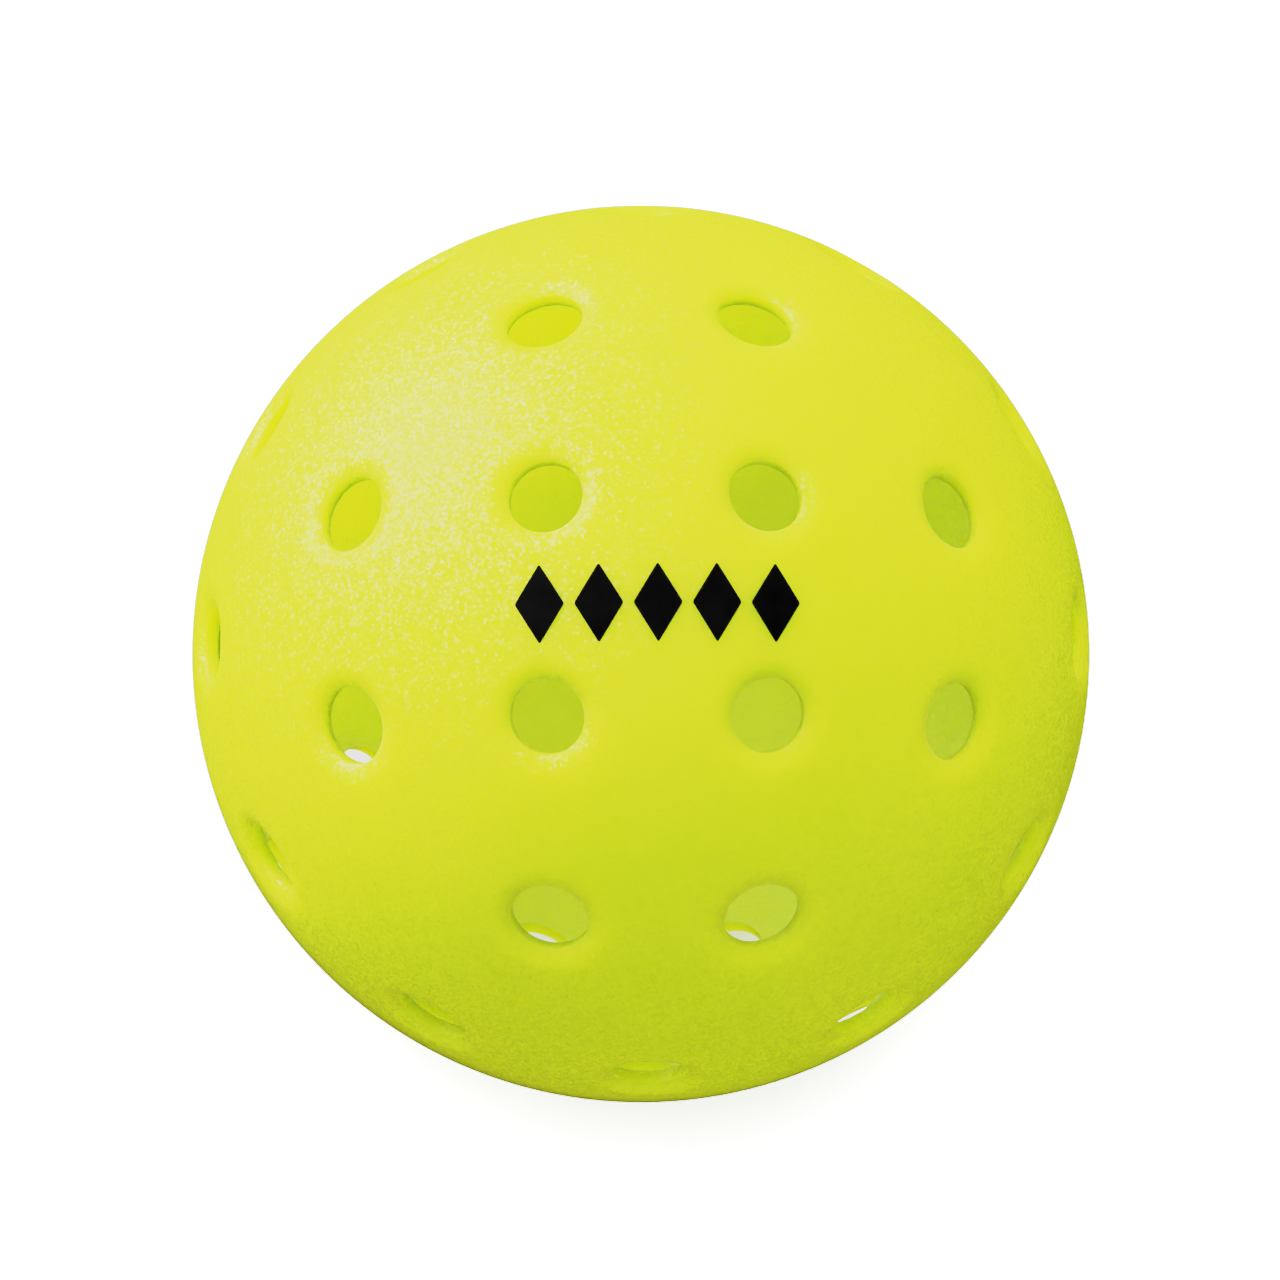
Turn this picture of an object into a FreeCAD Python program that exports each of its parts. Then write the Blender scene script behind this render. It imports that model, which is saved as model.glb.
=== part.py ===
import FreeCAD, Part
import math
import os

# Pickleball ball: two perforated plastic half shells, welded together at the equator, with a mark
# printed on one pole. Lengths are in millimetres and angles in degrees. The origin is the ball's
# centre, +Z runs out through the printed pole, and the weld lies in the XY plane.

# Driving dimensions of the shell
ball_diameter = 74.0
wall = 1.8
density = 0.95e-3  # grams per cubic millimetre of the shell's polyethylene

# Holes in each half, by ring from the pole to the weld: the ring's angle from the pole, the
# radius of its holes, and where they stand around the pole.
quarter_turns = (0.0, 90.0, 180.0, 270.0)
ring_1_polar = 19.5
ring_2_polar = 43.7
ring_2_spread = 19.5  # each quarter of ring 2 holds a pair, this far either side of its middle
ring_3_polar = 74.5
ring_3_count = 12
rings = (
    (ring_1_polar, 2.95, [turn + 45.0 for turn in quarter_turns]),
    (ring_2_polar, 3.10, [turn + side * ring_2_spread for turn in quarter_turns for side in (-1, 1)]),
    (ring_3_polar, 3.05, [step * 360.0 / ring_3_count for step in range(ring_3_count)]),
)

# Each hole's mouth is sunk into a soft round rim, which ends in a crisp edge at the hole's wall.
rim_width = 1.25
rim_round = 2.7

# The weld is a fused ring through the wall, trimmed flush outside, with its bead left inside.
weld_width = 0.8
bead_radius = 0.7
bead_height = 0.45

# The printed mark is a row of plain rhombi in a thin film of ink.
ink_thickness = 0.05
rhombus_count = 5
rhombus_width = 3.8
rhombus_height = 6.2
rhombus_pitch = 4.55

# Values that follow from them
outer_radius = ball_diameter / 2
inner_radius = outer_radius - wall
origin = FreeCAD.Vector(0, 0, 0)
z_axis = FreeCAD.Vector(0, 0, 1)
y_axis = FreeCAD.Vector(0, 1, 0)
x_axis = FreeCAD.Vector(1, 0, 0)


def revolved(edges):
    """The solid that a closed outline in the XZ plane makes in a full turn about Z."""
    return Part.Face(Part.Wire(edges)).revolve(origin, z_axis, 360)


def lines(points):
    """Straight edges through points given as distance from Z and height."""
    corners = [FreeCAD.Vector(u, 0, w) for u, w in points]
    return [Part.LineSegment(a, b).toShape() for a, b in zip(corners, corners[1:])]


def hole_cutter(hole_radius):
    """What one hole takes out of the wall, with the hole's axis on Z and its mouth at the top."""
    rim_radius = hole_radius + rim_width
    rim_top = math.sqrt(outer_radius**2 - rim_radius**2)
    centre_height = rim_top - rim_round
    edge_height = centre_height + math.sqrt(rim_round**2 - rim_width**2)
    half_angle = math.asin(rim_width / rim_round) / 2
    middle = (
        rim_radius - rim_round * math.sin(half_angle),
        centre_height + rim_round * math.cos(half_angle),
    )
    bottom = inner_radius - wall
    above = outer_radius + wall
    beyond = rim_radius + rim_width
    start = (hole_radius, edge_height)
    end = (rim_radius, rim_top)
    rim = Part.Arc(*[FreeCAD.Vector(u, 0, w) for u, w in (start, middle, end)]).toShape()
    over = lines((end, (beyond, rim_top), (beyond, above), (0, above)))
    under = lines(((0, above), (0, bottom), (hole_radius, bottom), start))
    return revolved([rim] + over + under)


def hole_cutters():
    """The cutters of all three rings of one half, each turned to its place."""
    placed = []
    for polar, hole_radius, azimuths in rings:
        cutter = hole_cutter(hole_radius)
        for azimuth in azimuths:
            turned = cutter.copy()
            turned.rotate(origin, y_axis, polar)
            turned.rotate(origin, z_axis, azimuth)
            placed.append(turned)
    return placed


def half_shell():
    """The upper half: a wall of even thickness from the pole down to the weld, with its holes."""
    ball_wall = Part.makeSphere(outer_radius).cut(Part.makeSphere(inner_radius))
    corner = FreeCAD.Vector(-ball_diameter, -ball_diameter, weld_width / 2)
    above_weld = Part.makeBox(2 * ball_diameter, 2 * ball_diameter, ball_diameter, corner)
    return ball_wall.common(above_weld).cut(hole_cutters())


def weld_ring():
    """The fused ring between the halves, with the round bead that stands into the hollow."""
    half_width = weld_width / 2
    corner = FreeCAD.Vector(-ball_diameter, -ball_diameter, -half_width)
    slab = Part.makeBox(2 * ball_diameter, 2 * ball_diameter, weld_width, corner)
    through_wall = Part.makeSphere(outer_radius).cut(Part.makeSphere(inner_radius)).common(slab)
    bead_path = inner_radius - bead_height + bead_radius
    bead = Part.makeTorus(bead_path, bead_radius).common(Part.makeSphere(inner_radius))
    return through_wall.fuse(bead).removeSplitter()


def printed_mark():
    """The row of rhombi, each one a film of even thickness on the outside of the pole."""
    film = Part.makeSphere(outer_radius + ink_thickness).cut(Part.makeSphere(outer_radius))
    marks = []
    for index in range(rhombus_count):
        middle = (index - (rhombus_count - 1) / 2) * rhombus_pitch
        corners = [
            FreeCAD.Vector(middle + rhombus_width / 2, 0, 0),
            FreeCAD.Vector(middle, rhombus_height / 2, 0),
            FreeCAD.Vector(middle - rhombus_width / 2, 0, 0),
            FreeCAD.Vector(middle, -rhombus_height / 2, 0),
        ]
        outline = Part.Face(Part.makePolygon(corners + corners[:1]))
        column = outline.extrude(FreeCAD.Vector(0, 0, ball_diameter))
        marks += film.common(column).Solids
    return Part.makeCompound(marks)


def lower_half(upper):
    """The same moulding turned over about X, so that the holes of the halves line up at the weld."""
    flipped = upper.copy()
    flipped.rotate(origin, x_axis, 180)
    return flipped


os.makedirs("parts", exist_ok=True)
upper = half_shell()
nodes = {
    "upper_half_shell": upper,
    "lower_half_shell": lower_half(upper),
    "weld_ring": weld_ring(),
    "printed_mark": printed_mark(),
}
for name, shape in nodes.items():
    shape.exportStep("parts/" + name + ".step")
    print(name, len(shape.Solids), "solids, valid", shape.isValid(), round(shape.Volume, 2), "mm3")
plastic = sum(nodes[name].Volume for name in ("upper_half_shell", "lower_half_shell", "weld_ring"))
print("mass in grams", round(plastic * density, 2))
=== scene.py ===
import math

import bmesh
import bpy
from mathutils import Euler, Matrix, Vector


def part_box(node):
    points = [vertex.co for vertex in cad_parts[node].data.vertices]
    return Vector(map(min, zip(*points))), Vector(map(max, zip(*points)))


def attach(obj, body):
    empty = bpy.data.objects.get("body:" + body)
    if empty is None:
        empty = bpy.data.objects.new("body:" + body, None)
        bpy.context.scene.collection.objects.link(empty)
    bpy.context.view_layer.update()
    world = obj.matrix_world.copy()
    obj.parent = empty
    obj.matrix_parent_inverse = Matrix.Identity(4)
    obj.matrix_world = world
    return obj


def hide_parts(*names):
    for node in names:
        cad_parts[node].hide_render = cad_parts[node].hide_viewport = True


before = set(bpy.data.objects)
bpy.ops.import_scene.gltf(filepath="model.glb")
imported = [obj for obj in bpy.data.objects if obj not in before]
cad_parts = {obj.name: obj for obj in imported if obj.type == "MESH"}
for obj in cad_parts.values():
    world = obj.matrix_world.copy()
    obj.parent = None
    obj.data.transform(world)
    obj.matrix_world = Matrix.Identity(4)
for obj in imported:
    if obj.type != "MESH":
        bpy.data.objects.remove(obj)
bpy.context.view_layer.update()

# Sizes in metres, from the frame where it has them. The origin is the ball's centre, +Z runs out
# through the printed pole, and the weld lies in the XY plane.
MM = 0.001
shell_low, shell_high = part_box("upper_half_shell")
OUTER_RADIUS = (shell_high[0] - shell_low[0]) / 2
WALL = 1.8 * MM
INNER_RADIUS = OUTER_RADIUS - WALL
MID_WALL = (OUTER_RADIUS + INNER_RADIUS) / 2
WELD_HALF = shell_low[2]
FLOOR_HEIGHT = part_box("lower_half_shell")[0][2]

# Holes of one half: each ring's angle from the pole, hole radius, and azimuths in degrees.
QUARTERS = (0, 90, 180, 270)
PAIR_SPREAD = 19.5
WELD_RING_COUNT = 12
RINGS = (
    (19.5, 2.95 * MM, [turn + 45 for turn in QUARTERS]),
    (43.7, 3.10 * MM, [turn + side * PAIR_SPREAD for turn in QUARTERS for side in (-1, 1)]),
    (74.5, 3.05 * MM, [step * 360 / WELD_RING_COUNT for step in range(WELD_RING_COUNT)]),
)

# The sunk rim round each hole: how far it spreads, how deep its slope sinks, and the round of
# its crisp edge. The throat is the rounded inner end of the hole.
RIM_SPREAD = 1.75 * MM
RIM_DEPTH = 0.68 * MM
EDGE_ROUND = 0.07 * MM
EDGE_ANGLES = (65, 40, 15, 0)
THROAT_ROUND = 0.22 * MM
THROAT_SPREAD = 0.9 * MM
THROAT_ANGLES = (0, 30, 60, 90)
LIP_SIDES = 60
RIM_LOOPS = 9

# The skins: quads along each side of the starting cube, the gap left round a lip, and the angle
# from a hole's axis within which an open edge belongs to that hole.
SKIN_CELLS = 72
CLEARING = 0.55 * MM
HOLE_REACH = math.radians(11.5)

# How near two points count as one: when cutting, along a cut skin, along the weld face, and
# where the weld's outline meets itself.
BISECT_NEAR = 0.001 * MM
SKIN_MERGE = 0.12 * MM
FACE_MERGE = 0.05 * MM
SEAM_MERGE = 0.005 * MM

# The weld: trimmed flush outside with fine rounded edges, with a round bead inside.
WELD_SIDES = 240
TRIM_ROUND = 0.05 * MM
TRIM_MIDDLE = 0.3
BEAD_RADIUS = 0.7 * MM
BEAD_HEIGHT = 0.45 * MM
BEAD_HALF_STEPS = 4

# Faces that meet at less than this angle are shaded as one smooth surface.
SMOOTH_ANGLE = math.radians(35)

# The printed row of rhombi: the film starts just clear of the shell.
INK_COUNT = 5
INK_WIDTH = 3.8 * MM
INK_HEIGHT = 6.2 * MM
INK_PITCH = 4.55 * MM
INK_CELLS = 16
INK_LIFT = 0.01 * MM
INK_FILM = 0.03 * MM
INK_CORNER = 0.28 * MM
INK_CORNER_STEPS = 4

# Colours, each pair being the two that a surface varies between: the shells' outside and their
# paler inner skin, the weld, and the ink. The inner skin's paler, bluer colour is painted shade:
# it gives the shaded hollow the washed-out look that shade has.
SHELL_YELLOW = (0.635, 0.86, 0.018)
SHELL_GREEN = (0.595, 0.84, 0.015)
INNER_PAINTED_SHADE = (0.60, 0.85, 0.15)
WELD_YELLOW = (0.62, 0.82, 0.018)
WELD_GREEN = (0.58, 0.80, 0.015)
INK_DEEP = (0.0004, 0.0004, 0.0004)
INK_WORN = (0.0015, 0.0015, 0.0015)

# How deep light soaks into the plastic, and each colour's share of that depth.
SOAK_RADIUS = (1.0, 1.05, 0.3)
SHELL_SOAK = 12 * MM
WELD_SOAK = 0.5 * MM
PLASTIC_IOR = 1.5

# Grains and facets to the metre. The ink takes on the shell's grain.
GRAIN_SCALE = 3300
FACET_SCALE = 4700

# The camera: its tilt about X, Y and Z in degrees, its distance from the ball's centre, and the
# small extra tilt that shifts the ball in the view.
LENS = 174.4
SENSOR = 36
TILT = (6.22, -2.06, -0.55)
AIM_SHIFT = (0.128, 0.008)
CAMERA_DISTANCE = 0.5125

# How bright each brightness comes out: straight up to the middle, then a long soft shoulder.
SHOULDER = (
    (0, 0), (0.55, 0.55), (0.70, 0.665), (0.82, 0.705),
    (1.08, 0.745), (1.46, 0.77), (2.2, 0.795), (3.4, 1),
)
COMBINED_CURVE = 3


def deselect_all():
    bpy.ops.object.select_all(action="DESELECT")


def edit(piece):
    """Opens a piece for editing, with nothing else selected."""
    deselect_all()
    piece.select_set(True)
    bpy.context.view_layer.objects.active = piece
    bpy.ops.object.mode_set(mode="EDIT")
    bpy.ops.mesh.select_mode(type="EDGE")


def done():
    bpy.ops.object.mode_set(mode="OBJECT")


def apply_modifier(piece, kind, **settings):
    """Adds a modifier with these settings and applies it at once."""
    deselect_all()
    piece.select_set(True)
    bpy.context.view_layer.objects.active = piece
    modifier = piece.modifiers.new(kind.title(), kind)
    for key, value in settings.items():
        setattr(modifier, key, value)
    bpy.ops.object.modifier_apply(modifier=modifier.name)


def hole_axes():
    """Each hole's axis, the turn that takes +Z to it, and its radius, over the rings of one half."""
    for polar, hole_radius, azimuths in RINGS:
        for azimuth in azimuths:
            turn = Euler((0, math.radians(polar), math.radians(azimuth)))
            axis = Vector((0, 0, 1))
            axis.rotate(turn)
            yield axis, turn, hole_radius


def half_skin(radius, spread, weld_height):
    """Half a sphere of even quads, cut off near the weld and cleared to a circle round each hole."""
    deselect_all()
    bpy.ops.mesh.primitive_cube_add(size=2 * radius)
    skin = bpy.context.object
    edit(skin)
    bpy.ops.mesh.select_all(action="SELECT")
    bpy.ops.mesh.subdivide(number_cuts=SKIN_CELLS - 1)
    done()
    apply_modifier(skin, "CAST", factor=1, size=radius, use_radius_as_size=False)
    edit(skin)
    bpy.ops.mesh.select_all(action="SELECT")
    bpy.ops.mesh.bisect(
        plane_co=(0, 0, weld_height), plane_no=(0, 0, 1), clear_inner=True, threshold=BISECT_NEAR,
    )
    for axis, _, hole_radius in hole_axes():
        clearing = hole_radius + spread + CLEARING
        cut_height = math.sqrt(radius**2 - clearing**2)
        bpy.ops.mesh.select_all(action="SELECT")
        bpy.ops.mesh.bisect(
            plane_co=axis * cut_height, plane_no=axis, clear_outer=True, threshold=BISECT_NEAR,
        )
    bpy.ops.mesh.select_all(action="SELECT")
    bpy.ops.mesh.remove_doubles(threshold=SKIN_MERGE)
    done()
    apply_modifier(skin, "CAST", factor=1, size=radius, use_radius_as_size=False)
    return skin


def lip_outline(hole_radius):
    """Distance from the hole's axis and height of each loop, from the outer skin to the inner one."""
    start = hole_radius + RIM_SPREAD
    outline = []
    for loop in range(RIM_LOOPS):
        share = loop / RIM_LOOPS
        distance = start - share * (RIM_SPREAD - EDGE_ROUND)
        sink = RIM_DEPTH * ((start - distance) / RIM_SPREAD) ** 2
        outline.append((distance, math.sqrt(OUTER_RADIUS**2 - distance**2) - sink))
    edge_height = math.sqrt(OUTER_RADIUS**2 - hole_radius**2) - RIM_DEPTH - EDGE_ROUND
    for angle in EDGE_ANGLES:
        bend = math.radians(angle)
        outline.append((
            hole_radius + EDGE_ROUND * (1 - math.cos(bend)),
            edge_height + EDGE_ROUND * math.sin(bend),
        ))
    throat_height = math.sqrt(INNER_RADIUS**2 - hole_radius**2) + THROAT_ROUND
    for share in (0.33, 0.67):
        outline.append((hole_radius, edge_height + share * (throat_height - edge_height)))
    for angle in THROAT_ANGLES:
        bend = math.radians(angle)
        outline.append((
            hole_radius + THROAT_ROUND * (1 - math.cos(bend)),
            throat_height - THROAT_ROUND * math.sin(bend),
        ))
    for share in (0.5, 1):
        distance = hole_radius + THROAT_ROUND + share * (THROAT_SPREAD - THROAT_ROUND)
        outline.append((distance, math.sqrt(INNER_RADIUS**2 - distance**2)))
    return outline


def draw_out(outline):
    """Extrudes the selected loop step by step along an outline of distances from Z and heights."""
    for (near, low), (far, high) in zip(outline, outline[1:]):
        bpy.ops.mesh.extrude_edges_move(TRANSFORM_OT_translate={"value": (0, 0, high - low)})
        grow = far / near
        bpy.ops.transform.resize(value=(grow, grow, 1), center_override=(0, 0, high))


def turned_loops(outline, sides):
    """A circle drawn out loop by loop along an outline of distances from Z and heights."""
    deselect_all()
    radius, height = outline[0]
    bpy.ops.mesh.primitive_circle_add(vertices=sides, radius=radius, location=(0, 0, height))
    bpy.ops.object.transform_apply(location=True, rotation=True, scale=True)
    piece = bpy.context.object
    edit(piece)
    bpy.ops.mesh.select_all(action="SELECT")
    draw_out(outline)
    done()
    return piece


def hole_lips():
    """A lip for every hole of one half, each a copy of its ring's lip turned to its place."""
    lips = []
    ring_lips = {
        hole_radius: turned_loops(lip_outline(hole_radius), LIP_SIDES)
        for _, hole_radius, _ in RINGS
    }
    for _, turn, hole_radius in hole_axes():
        lip = ring_lips[hole_radius].copy()
        lip.data = ring_lips[hole_radius].data.copy()
        lip.rotation_euler = turn
        bpy.context.collection.objects.link(lip)
        lips.append(lip)
    for pattern in ring_lips.values():
        bpy.data.objects.remove(pattern)
    return lips


def select_open_edges(piece, wanted):
    """Selects the open edges whose middle passes the test, and nothing else."""
    bpy.ops.mesh.select_all(action="DESELECT")
    shape = bmesh.from_edit_mesh(piece.data)
    for edge in shape.edges:
        if edge.is_boundary and wanted((edge.verts[0].co + edge.verts[1].co) / 2):
            edge.select_set(True)
    bmesh.update_edit_mesh(piece.data)


def joined(pieces, name):
    """All these pieces as one mesh in the first one's object."""
    deselect_all()
    for piece in pieces:
        piece.select_set(True)
    bpy.context.view_layer.objects.active = pieces[0]
    bpy.ops.object.join()
    pieces[0].name = name
    pieces[0].data.name = name
    return pieces[0]


def upper_shell():
    """The upper half: two skins joined by a lip through every hole and closed along the weld."""
    corner = WELD_HALF + TRIM_ROUND
    outer = half_skin(OUTER_RADIUS, RIM_SPREAD, corner)
    inner = half_skin(INNER_RADIUS, THROAT_SPREAD, WELD_HALF)
    shell = joined([outer, inner] + hole_lips(), "upper_shell")
    edit(shell)
    for axis, _, _ in hole_axes():
        for outside in (True, False):
            select_open_edges(
                shell,
                lambda middle: (
                    middle.angle(axis) < HOLE_REACH and (middle.length > MID_WALL) == outside
                ),
            )
            bpy.ops.mesh.bridge_edge_loops()
    select_open_edges(shell, lambda middle: middle.length > MID_WALL)
    weld_radius = math.sqrt(OUTER_RADIUS**2 - corner**2)
    draw_out([
        (weld_radius, corner),
        (weld_radius - TRIM_ROUND * TRIM_MIDDLE, WELD_HALF + TRIM_ROUND * TRIM_MIDDLE),
        (weld_radius - TRIM_ROUND, WELD_HALF),
        (math.sqrt(INNER_RADIUS**2 - WELD_HALF**2), WELD_HALF),
    ])
    select_open_edges(shell, lambda middle: True)
    bpy.ops.mesh.remove_doubles(threshold=FACE_MERGE)
    bpy.ops.mesh.select_all(action="SELECT")
    bpy.ops.mesh.normals_make_consistent(inside=False)
    done()
    smooth(shell)
    return shell


def smooth(piece):
    deselect_all()
    piece.select_set(True)
    bpy.context.view_layer.objects.active = piece
    bpy.ops.object.shade_smooth_by_angle(angle=SMOOTH_ANGLE)


def lower_shell(upper):
    """The same moulding turned over."""
    lower = upper.copy()
    lower.data = upper.data.copy()
    lower.name = "lower_shell"
    lower.data.name = "lower_shell"
    bpy.context.collection.objects.link(lower)
    deselect_all()
    lower.select_set(True)
    bpy.context.view_layer.objects.active = lower
    lower.rotation_euler = (math.pi, 0, 0)
    bpy.ops.object.transform_apply(location=True, rotation=True, scale=True)
    return lower


def weld_seam():
    """The fused ring between the halves, turned from its cross section."""
    bead_centre = INNER_RADIUS - BEAD_HEIGHT + BEAD_RADIUS
    bead_turn = math.acos((bead_centre - INNER_RADIUS) / BEAD_RADIUS)
    outline = [
        (OUTER_RADIUS - TRIM_ROUND, -WELD_HALF),
        (OUTER_RADIUS - TRIM_ROUND * TRIM_MIDDLE, -WELD_HALF + TRIM_ROUND * TRIM_MIDDLE),
        (OUTER_RADIUS, -WELD_HALF + TRIM_ROUND),
        (OUTER_RADIUS, WELD_HALF - TRIM_ROUND),
        (OUTER_RADIUS - TRIM_ROUND * TRIM_MIDDLE, WELD_HALF - TRIM_ROUND * TRIM_MIDDLE),
        (OUTER_RADIUS - TRIM_ROUND, WELD_HALF),
        (INNER_RADIUS + TRIM_ROUND, WELD_HALF),
    ]
    for step in range(2 * BEAD_HALF_STEPS + 1):
        bend = bead_turn * (1 - step / BEAD_HALF_STEPS)
        outline.append((bead_centre - BEAD_RADIUS * math.cos(bend), BEAD_RADIUS * math.sin(bend)))
    outline += [(INNER_RADIUS + TRIM_ROUND, -WELD_HALF), outline[0]]
    seam = turned_loops(outline, WELD_SIDES)
    seam.name = "weld_seam"
    seam.data.name = "weld_seam"
    edit(seam)
    bpy.ops.mesh.select_all(action="SELECT")
    bpy.ops.mesh.remove_doubles(threshold=SEAM_MERGE)
    bpy.ops.mesh.normals_make_consistent(inside=False)
    done()
    smooth(seam)
    return seam


def ink_rhombus(middle, shell):
    """One rhombus of ink with rounded corners, laid on the shell and given the film's thickness."""
    deselect_all()
    bpy.ops.mesh.primitive_grid_add(x_subdivisions=INK_CELLS, y_subdivisions=INK_CELLS, size=1)
    rhombus = bpy.context.object
    rhombus.rotation_euler = (0, 0, math.radians(45))
    bpy.ops.object.transform_apply(location=True, rotation=True, scale=True)
    edit(rhombus)
    bpy.ops.mesh.select_all(action="SELECT")
    across = math.sqrt(2)
    bpy.ops.transform.resize(
        value=(INK_WIDTH / across, INK_HEIGHT / across, 1), center_override=(0, 0, 0),
    )
    bpy.ops.transform.translate(value=(middle, 0, OUTER_RADIUS + MM))
    bpy.ops.mesh.select_mode(type="VERT")
    bpy.ops.mesh.select_all(action="DESELECT")
    shape = bmesh.from_edit_mesh(rhombus.data)
    for corner in shape.verts:
        if len(corner.link_edges) == 2:
            corner.select_set(True)
    bmesh.update_edit_mesh(rhombus.data)
    bpy.ops.mesh.bevel(affect="VERTICES", offset=INK_CORNER, segments=INK_CORNER_STEPS)
    done()
    apply_modifier(
        rhombus, "SHRINKWRAP", target=shell, wrap_method="PROJECT", use_project_z=True,
        use_negative_direction=True, use_positive_direction=False, offset=INK_LIFT,
    )
    apply_modifier(rhombus, "SOLIDIFY", thickness=INK_FILM, offset=1)
    return rhombus


def pole_print(shell):
    """The whole printed mark, as one piece of separate islands."""
    first = -(INK_COUNT - 1) / 2 * INK_PITCH
    row = [ink_rhombus(first + index * INK_PITCH, shell) for index in range(INK_COUNT)]
    ink = joined(row, "pole_print")
    edit(ink)
    bpy.ops.mesh.select_all(action="SELECT")
    bpy.ops.mesh.normals_make_consistent(inside=False)
    done()
    smooth(ink)
    return ink


def new_material(name):
    """An empty node material, its node tree and its shader."""
    material = bpy.data.materials.new(name)
    material.use_nodes = True
    tree = material.node_tree
    return material, tree, tree.nodes["Principled BSDF"]


def noise(tree, place, scale, detail=2.0, roughness=0.5):
    """A noise texture on Object coordinates, with features about 1 / scale metres across."""
    texture = tree.nodes.new("ShaderNodeTexNoise")
    texture.inputs["Scale"].default_value = scale
    texture.inputs["Detail"].default_value = detail
    texture.inputs["Roughness"].default_value = roughness
    tree.links.new(place, texture.inputs["Vector"])
    return texture.outputs["Fac"]


def spread(tree, value, low, high, start=0.3, end=0.7):
    """A value from start to end, spread over low to high."""
    node = tree.nodes.new("ShaderNodeMapRange")
    node.inputs["From Min"].default_value = start
    node.inputs["From Max"].default_value = end
    node.inputs["To Min"].default_value = low
    node.inputs["To Max"].default_value = high
    tree.links.new(value, node.inputs["Value"])
    return node.outputs["Result"]


def bump(tree, height, depth, strength=1.0, below=None):
    """A bump that a height of 1 raises by this depth in metres, laid over another where given."""
    node = tree.nodes.new("ShaderNodeBump")
    node.inputs["Strength"].default_value = strength
    node.inputs["Distance"].default_value = depth
    tree.links.new(height, node.inputs["Height"])
    if below is not None:
        tree.links.new(below, node.inputs["Normal"])
    return node.outputs["Normal"]


def facets(tree, place, scale):
    """The height of tiny flat facets, each tilted its own way with a slope up to about 1."""
    cells = tree.nodes.new("ShaderNodeTexVoronoi")
    cells.inputs["Scale"].default_value = scale
    tree.links.new(place, cells.inputs["Vector"])
    tilt = tree.nodes.new("ShaderNodeVectorMath")
    tilt.operation = "MULTIPLY_ADD"
    tilt.inputs[1].default_value = (2, 2, 2)
    tilt.inputs[2].default_value = (-1, -1, -1)
    tree.links.new(cells.outputs["Color"], tilt.inputs[0])
    from_middle = tree.nodes.new("ShaderNodeVectorMath")
    from_middle.operation = "SUBTRACT"
    tree.links.new(place, from_middle.inputs[0])
    tree.links.new(cells.outputs["Position"], from_middle.inputs[1])
    height = tree.nodes.new("ShaderNodeVectorMath")
    height.operation = "DOT_PRODUCT"
    tree.links.new(tilt.outputs["Vector"], height.inputs[0])
    tree.links.new(from_middle.outputs["Vector"], height.inputs[1])
    return height.outputs["Value"]


def blend_colours(tree, value, first, second):
    """Goes from the first colour to the second as the value goes from 0 to 1."""
    node = tree.nodes.new("ShaderNodeMix")
    node.data_type = "RGBA"
    for name, colour in (("A", first), ("B", second)):
        if isinstance(colour, tuple):
            node.inputs[name].default_value = (*colour, 1)
        else:
            tree.links.new(colour, node.inputs[name])
    tree.links.new(value, node.inputs["Factor"])
    return node.outputs["Result"]


def soak_light(shader, depth):
    """Lets light soak this deep into the plastic, so that a thin wall glows from inside."""
    shader.inputs["Subsurface Weight"].default_value = 1.0
    shader.inputs["Subsurface Radius"].default_value = SOAK_RADIUS
    shader.inputs["Subsurface Scale"].default_value = depth


def shell_plastic():
    """Bright moulded plastic: light soaks into it, and fine facets break up its sheen."""
    material, tree, shader = new_material("shell_plastic")
    place = tree.nodes.new("ShaderNodeTexCoord").outputs["Object"]
    cloud = noise(tree, place, 70, detail=3)
    outside = blend_colours(tree, spread(tree, cloud, 0, 1), SHELL_YELLOW, SHELL_GREEN)
    radius = tree.nodes.new("ShaderNodeVectorMath")
    radius.operation = "LENGTH"
    tree.links.new(place, radius.inputs[0])
    # Painted shade: the inner skin is painted paler and bluer than the outside, so the shaded hollow
    # looks washed out.
    painted_shade_inside = spread(
        tree, radius.outputs["Value"], 1, 0, INNER_RADIUS + 0.02 * MM, INNER_RADIUS + 0.15 * MM,
    )
    colour = blend_colours(tree, painted_shade_inside, outside, INNER_PAINTED_SHADE)
    tree.links.new(colour, shader.inputs["Base Color"])
    swell = noise(tree, place, 160, detail=1)
    grain = noise(tree, place, GRAIN_SCALE, detail=1.5, roughness=0.6)
    sparkle = facets(tree, place, FACET_SCALE)
    tree.links.new(spread(tree, grain, 0.32, 0.50), shader.inputs["Roughness"])
    waves = bump(tree, swell, 0.06 * MM, strength=0.5)
    grains = bump(tree, grain, 0.012 * MM, below=waves)
    tree.links.new(bump(tree, sparkle, 0.12, below=grains), shader.inputs["Normal"])
    tree.links.new(bump(tree, sparkle, 0.40, below=grains), shader.inputs["Coat Normal"])
    shader.inputs["Specular IOR Level"].default_value = 0.15
    shader.inputs["Coat Weight"].default_value = 0.85
    shader.inputs["Coat Roughness"].default_value = 0.4
    shader.inputs["Coat IOR"].default_value = 1.45
    shader.inputs["IOR"].default_value = PLASTIC_IOR
    soak_light(shader, SHELL_SOAK)
    return material


def weld_plastic():
    """The same plastic after welding and trimming: a little duller, with fine turning marks."""
    material, tree, shader = new_material("weld_plastic")
    place = tree.nodes.new("ShaderNodeTexCoord").outputs["Object"]
    cloud = noise(tree, place, 200, detail=3)
    colour = blend_colours(tree, spread(tree, cloud, 0, 1), WELD_YELLOW, WELD_GREEN)
    tree.links.new(colour, shader.inputs["Base Color"])
    stretch = tree.nodes.new("ShaderNodeMapping")
    stretch.inputs["Scale"].default_value = (1, 1, 12)
    tree.links.new(place, stretch.inputs["Vector"])
    marks = noise(tree, stretch.outputs["Vector"], 900)
    tree.links.new(spread(tree, marks, 0.5, 0.7), shader.inputs["Roughness"])
    tree.links.new(bump(tree, marks, 0.02 * MM, strength=0.6), shader.inputs["Normal"])
    shader.inputs["IOR"].default_value = PLASTIC_IOR
    soak_light(shader, WELD_SOAK)
    return material


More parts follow.
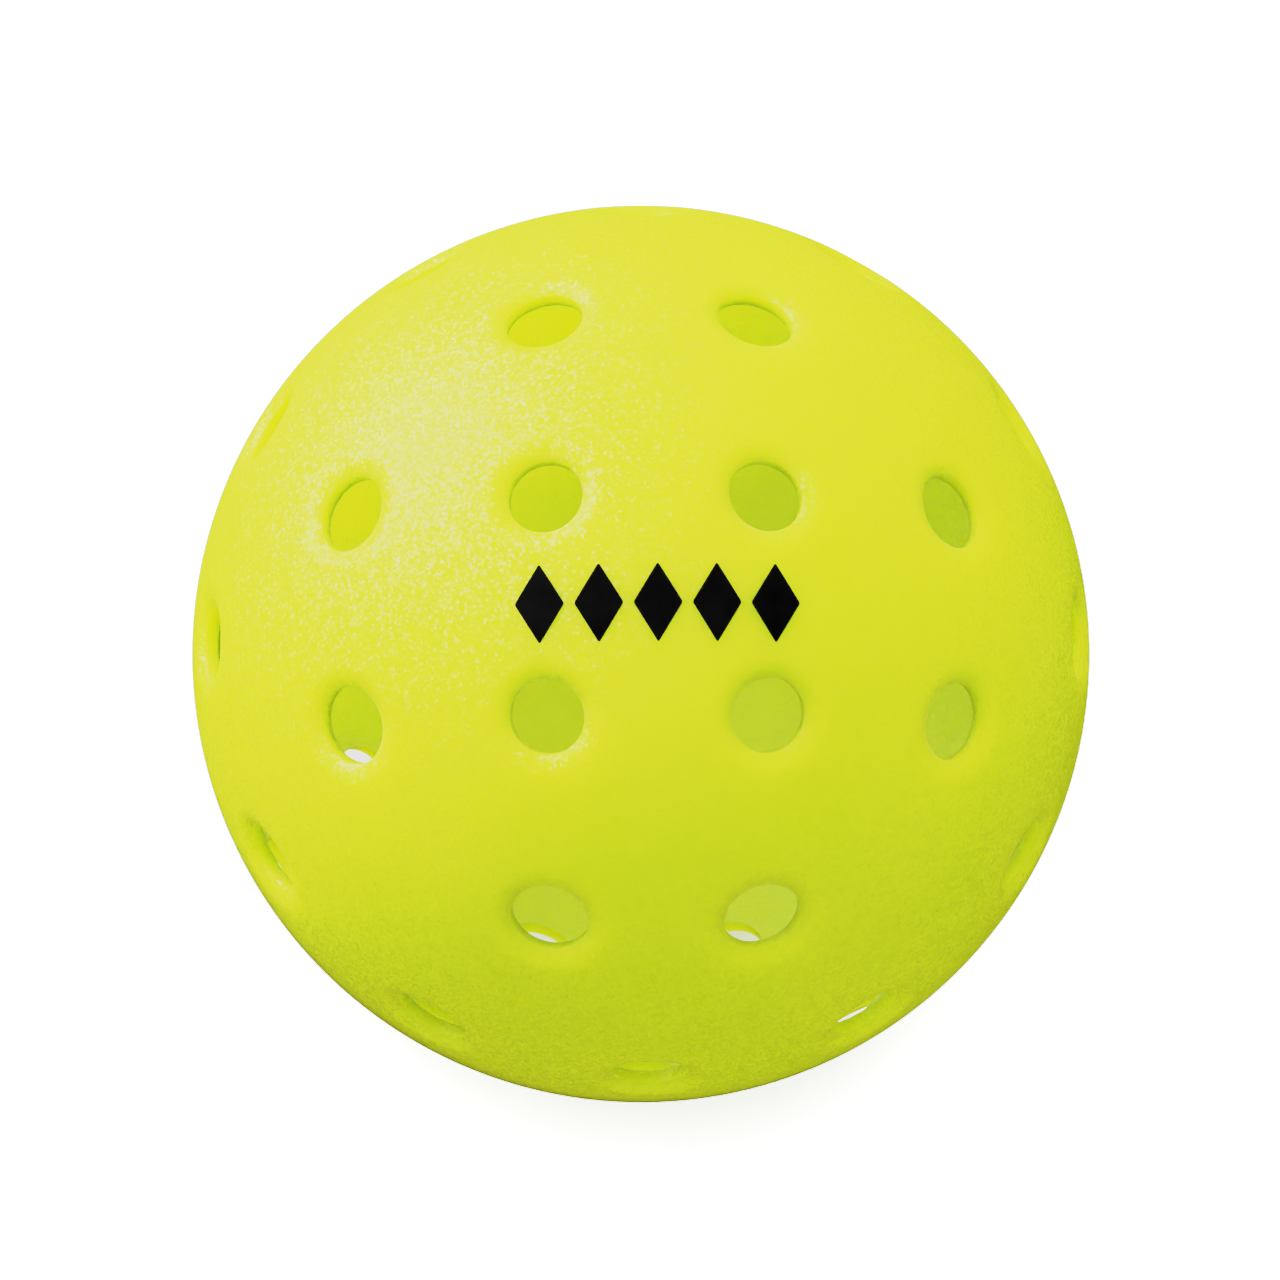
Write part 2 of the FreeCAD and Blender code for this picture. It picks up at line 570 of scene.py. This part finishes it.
def print_ink():
    """Dense black pad-printing ink that takes a little of the shell's grain."""
    material, tree, shader = new_material("print_ink")
    place = tree.nodes.new("ShaderNodeTexCoord").outputs["Object"]
    cloud = noise(tree, place, 500, detail=3)
    colour = blend_colours(tree, spread(tree, cloud, 0, 1), INK_DEEP, INK_WORN)
    tree.links.new(colour, shader.inputs["Base Color"])
    grain = noise(tree, place, GRAIN_SCALE, detail=1.5, roughness=0.6)
    tree.links.new(spread(tree, grain, 0.5, 0.7), shader.inputs["Roughness"])
    tree.links.new(bump(tree, grain, 0.006 * MM, strength=0.5), shader.inputs["Normal"])
    shader.inputs["Specular IOR Level"].default_value = 0.06
    return material


def place_camera():
    """A long lens that looks almost straight down on the printed pole."""
    data = bpy.data.cameras.new("camera")
    data.lens = LENS
    data.sensor_width = SENSOR
    data.clip_start = 0.01
    camera = bpy.data.objects.new("camera", data)
    bpy.context.collection.objects.link(camera)
    camera.rotation_euler = [math.radians(angle) for angle in TILT]
    backwards = Vector((0, 0, 1))
    backwards.rotate(camera.rotation_euler)
    camera.location = backwards * CAMERA_DISTANCE
    camera.rotation_euler = (
        math.radians(TILT[0] + AIM_SHIFT[0]), math.radians(TILT[1] + AIM_SHIFT[1]), math.radians(TILT[2]),
    )
    bpy.context.scene.camera = camera


def soft_light(name, direction, distance, size, power):
    """A square softbox that faces the ball's centre."""
    data = bpy.data.lights.new(name, "AREA")
    data.shape = "SQUARE"
    data.size = size
    data.energy = power
    light = bpy.data.objects.new(name, data)
    bpy.context.collection.objects.link(light)
    towards = Vector(direction).normalized()
    light.location = towards * distance
    light.rotation_euler = towards.to_track_quat("Z", "Y").to_euler()
    return light


def studio():
    """A pale floor with its own light, a softbox at the upper left, a wide fill, and light all round.

    Only the camera sees the floor, and neither the fill nor the even light shows in the gloss.
    """
    deselect_all()
    bpy.ops.mesh.primitive_plane_add(size=6, location=(0, 0, FLOOR_HEIGHT))
    floor = bpy.context.object
    floor.name = "floor"
    floor.visible_diffuse = False
    floor.visible_glossy = False
    floor.visible_transmission = False
    floor.visible_shadow = False
    paint, _, shader = new_material("floor_white")
    shader.inputs["Base Color"].default_value = (0.9, 0.9, 0.9, 1)
    shader.inputs["Roughness"].default_value = 0.9
    floor.data.materials.append(paint)
    soft_light("key", (-0.72, 0.64, 0.27), distance=0.6, size=0.40, power=6.4)
    fill = soft_light("fill", (-0.05, 0.72, 0.66), distance=1.0, size=1.0, power=16)
    fill.visible_glossy = False
    overhead = soft_light("overhead", (0.0, 0.0, 1.0), distance=1.6, size=1.6, power=160)
    floor_only = bpy.data.collections.new("floor_only")
    floor_only.objects.link(floor)
    overhead.light_linking.receiver_collection = floor_only
    world = bpy.data.worlds.new("world")
    world.use_nodes = True
    world.node_tree.nodes["Background"].inputs["Color"].default_value = (1, 1, 1, 1)
    world.node_tree.nodes["Background"].inputs["Strength"].default_value = 0.92
    bpy.context.scene.world = world
    world.cycles_visibility.glossy = False


def film_response():
    """A colour response whose shoulder turns well-lit yellow-green towards yellow, as film does."""
    view = bpy.context.scene.view_settings
    view.view_transform = "Standard"
    view.use_curve_mapping = True
    view.curve_mapping.clip_max_x = SHOULDER[-1][0]
    view.curve_mapping.clip_max_y = 1
    curve = view.curve_mapping.curves[COMBINED_CURVE]
    while len(curve.points) < len(SHOULDER):
        curve.points.new(0.5, 0.5)
    for point, (light, shown) in zip(curve.points, SHOULDER):
        point.location = (light, shown)
        point.handle_type = "AUTO_CLAMPED"
    view.curve_mapping.update()


def finish_piece(piece, material, node):
    piece.data.materials.clear()
    piece.data.materials.append(material)
    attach(piece, "root")
    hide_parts(node)


place_camera()
studio()
film_response()
plastic = shell_plastic()
upper = upper_shell()
lower = lower_shell(upper)
finish_piece(upper, plastic, "upper_half_shell")
finish_piece(lower, plastic, "lower_half_shell")
finish_piece(weld_seam(), weld_plastic(), "weld_ring")
finish_piece(pole_print(upper), print_ink(), "printed_mark")
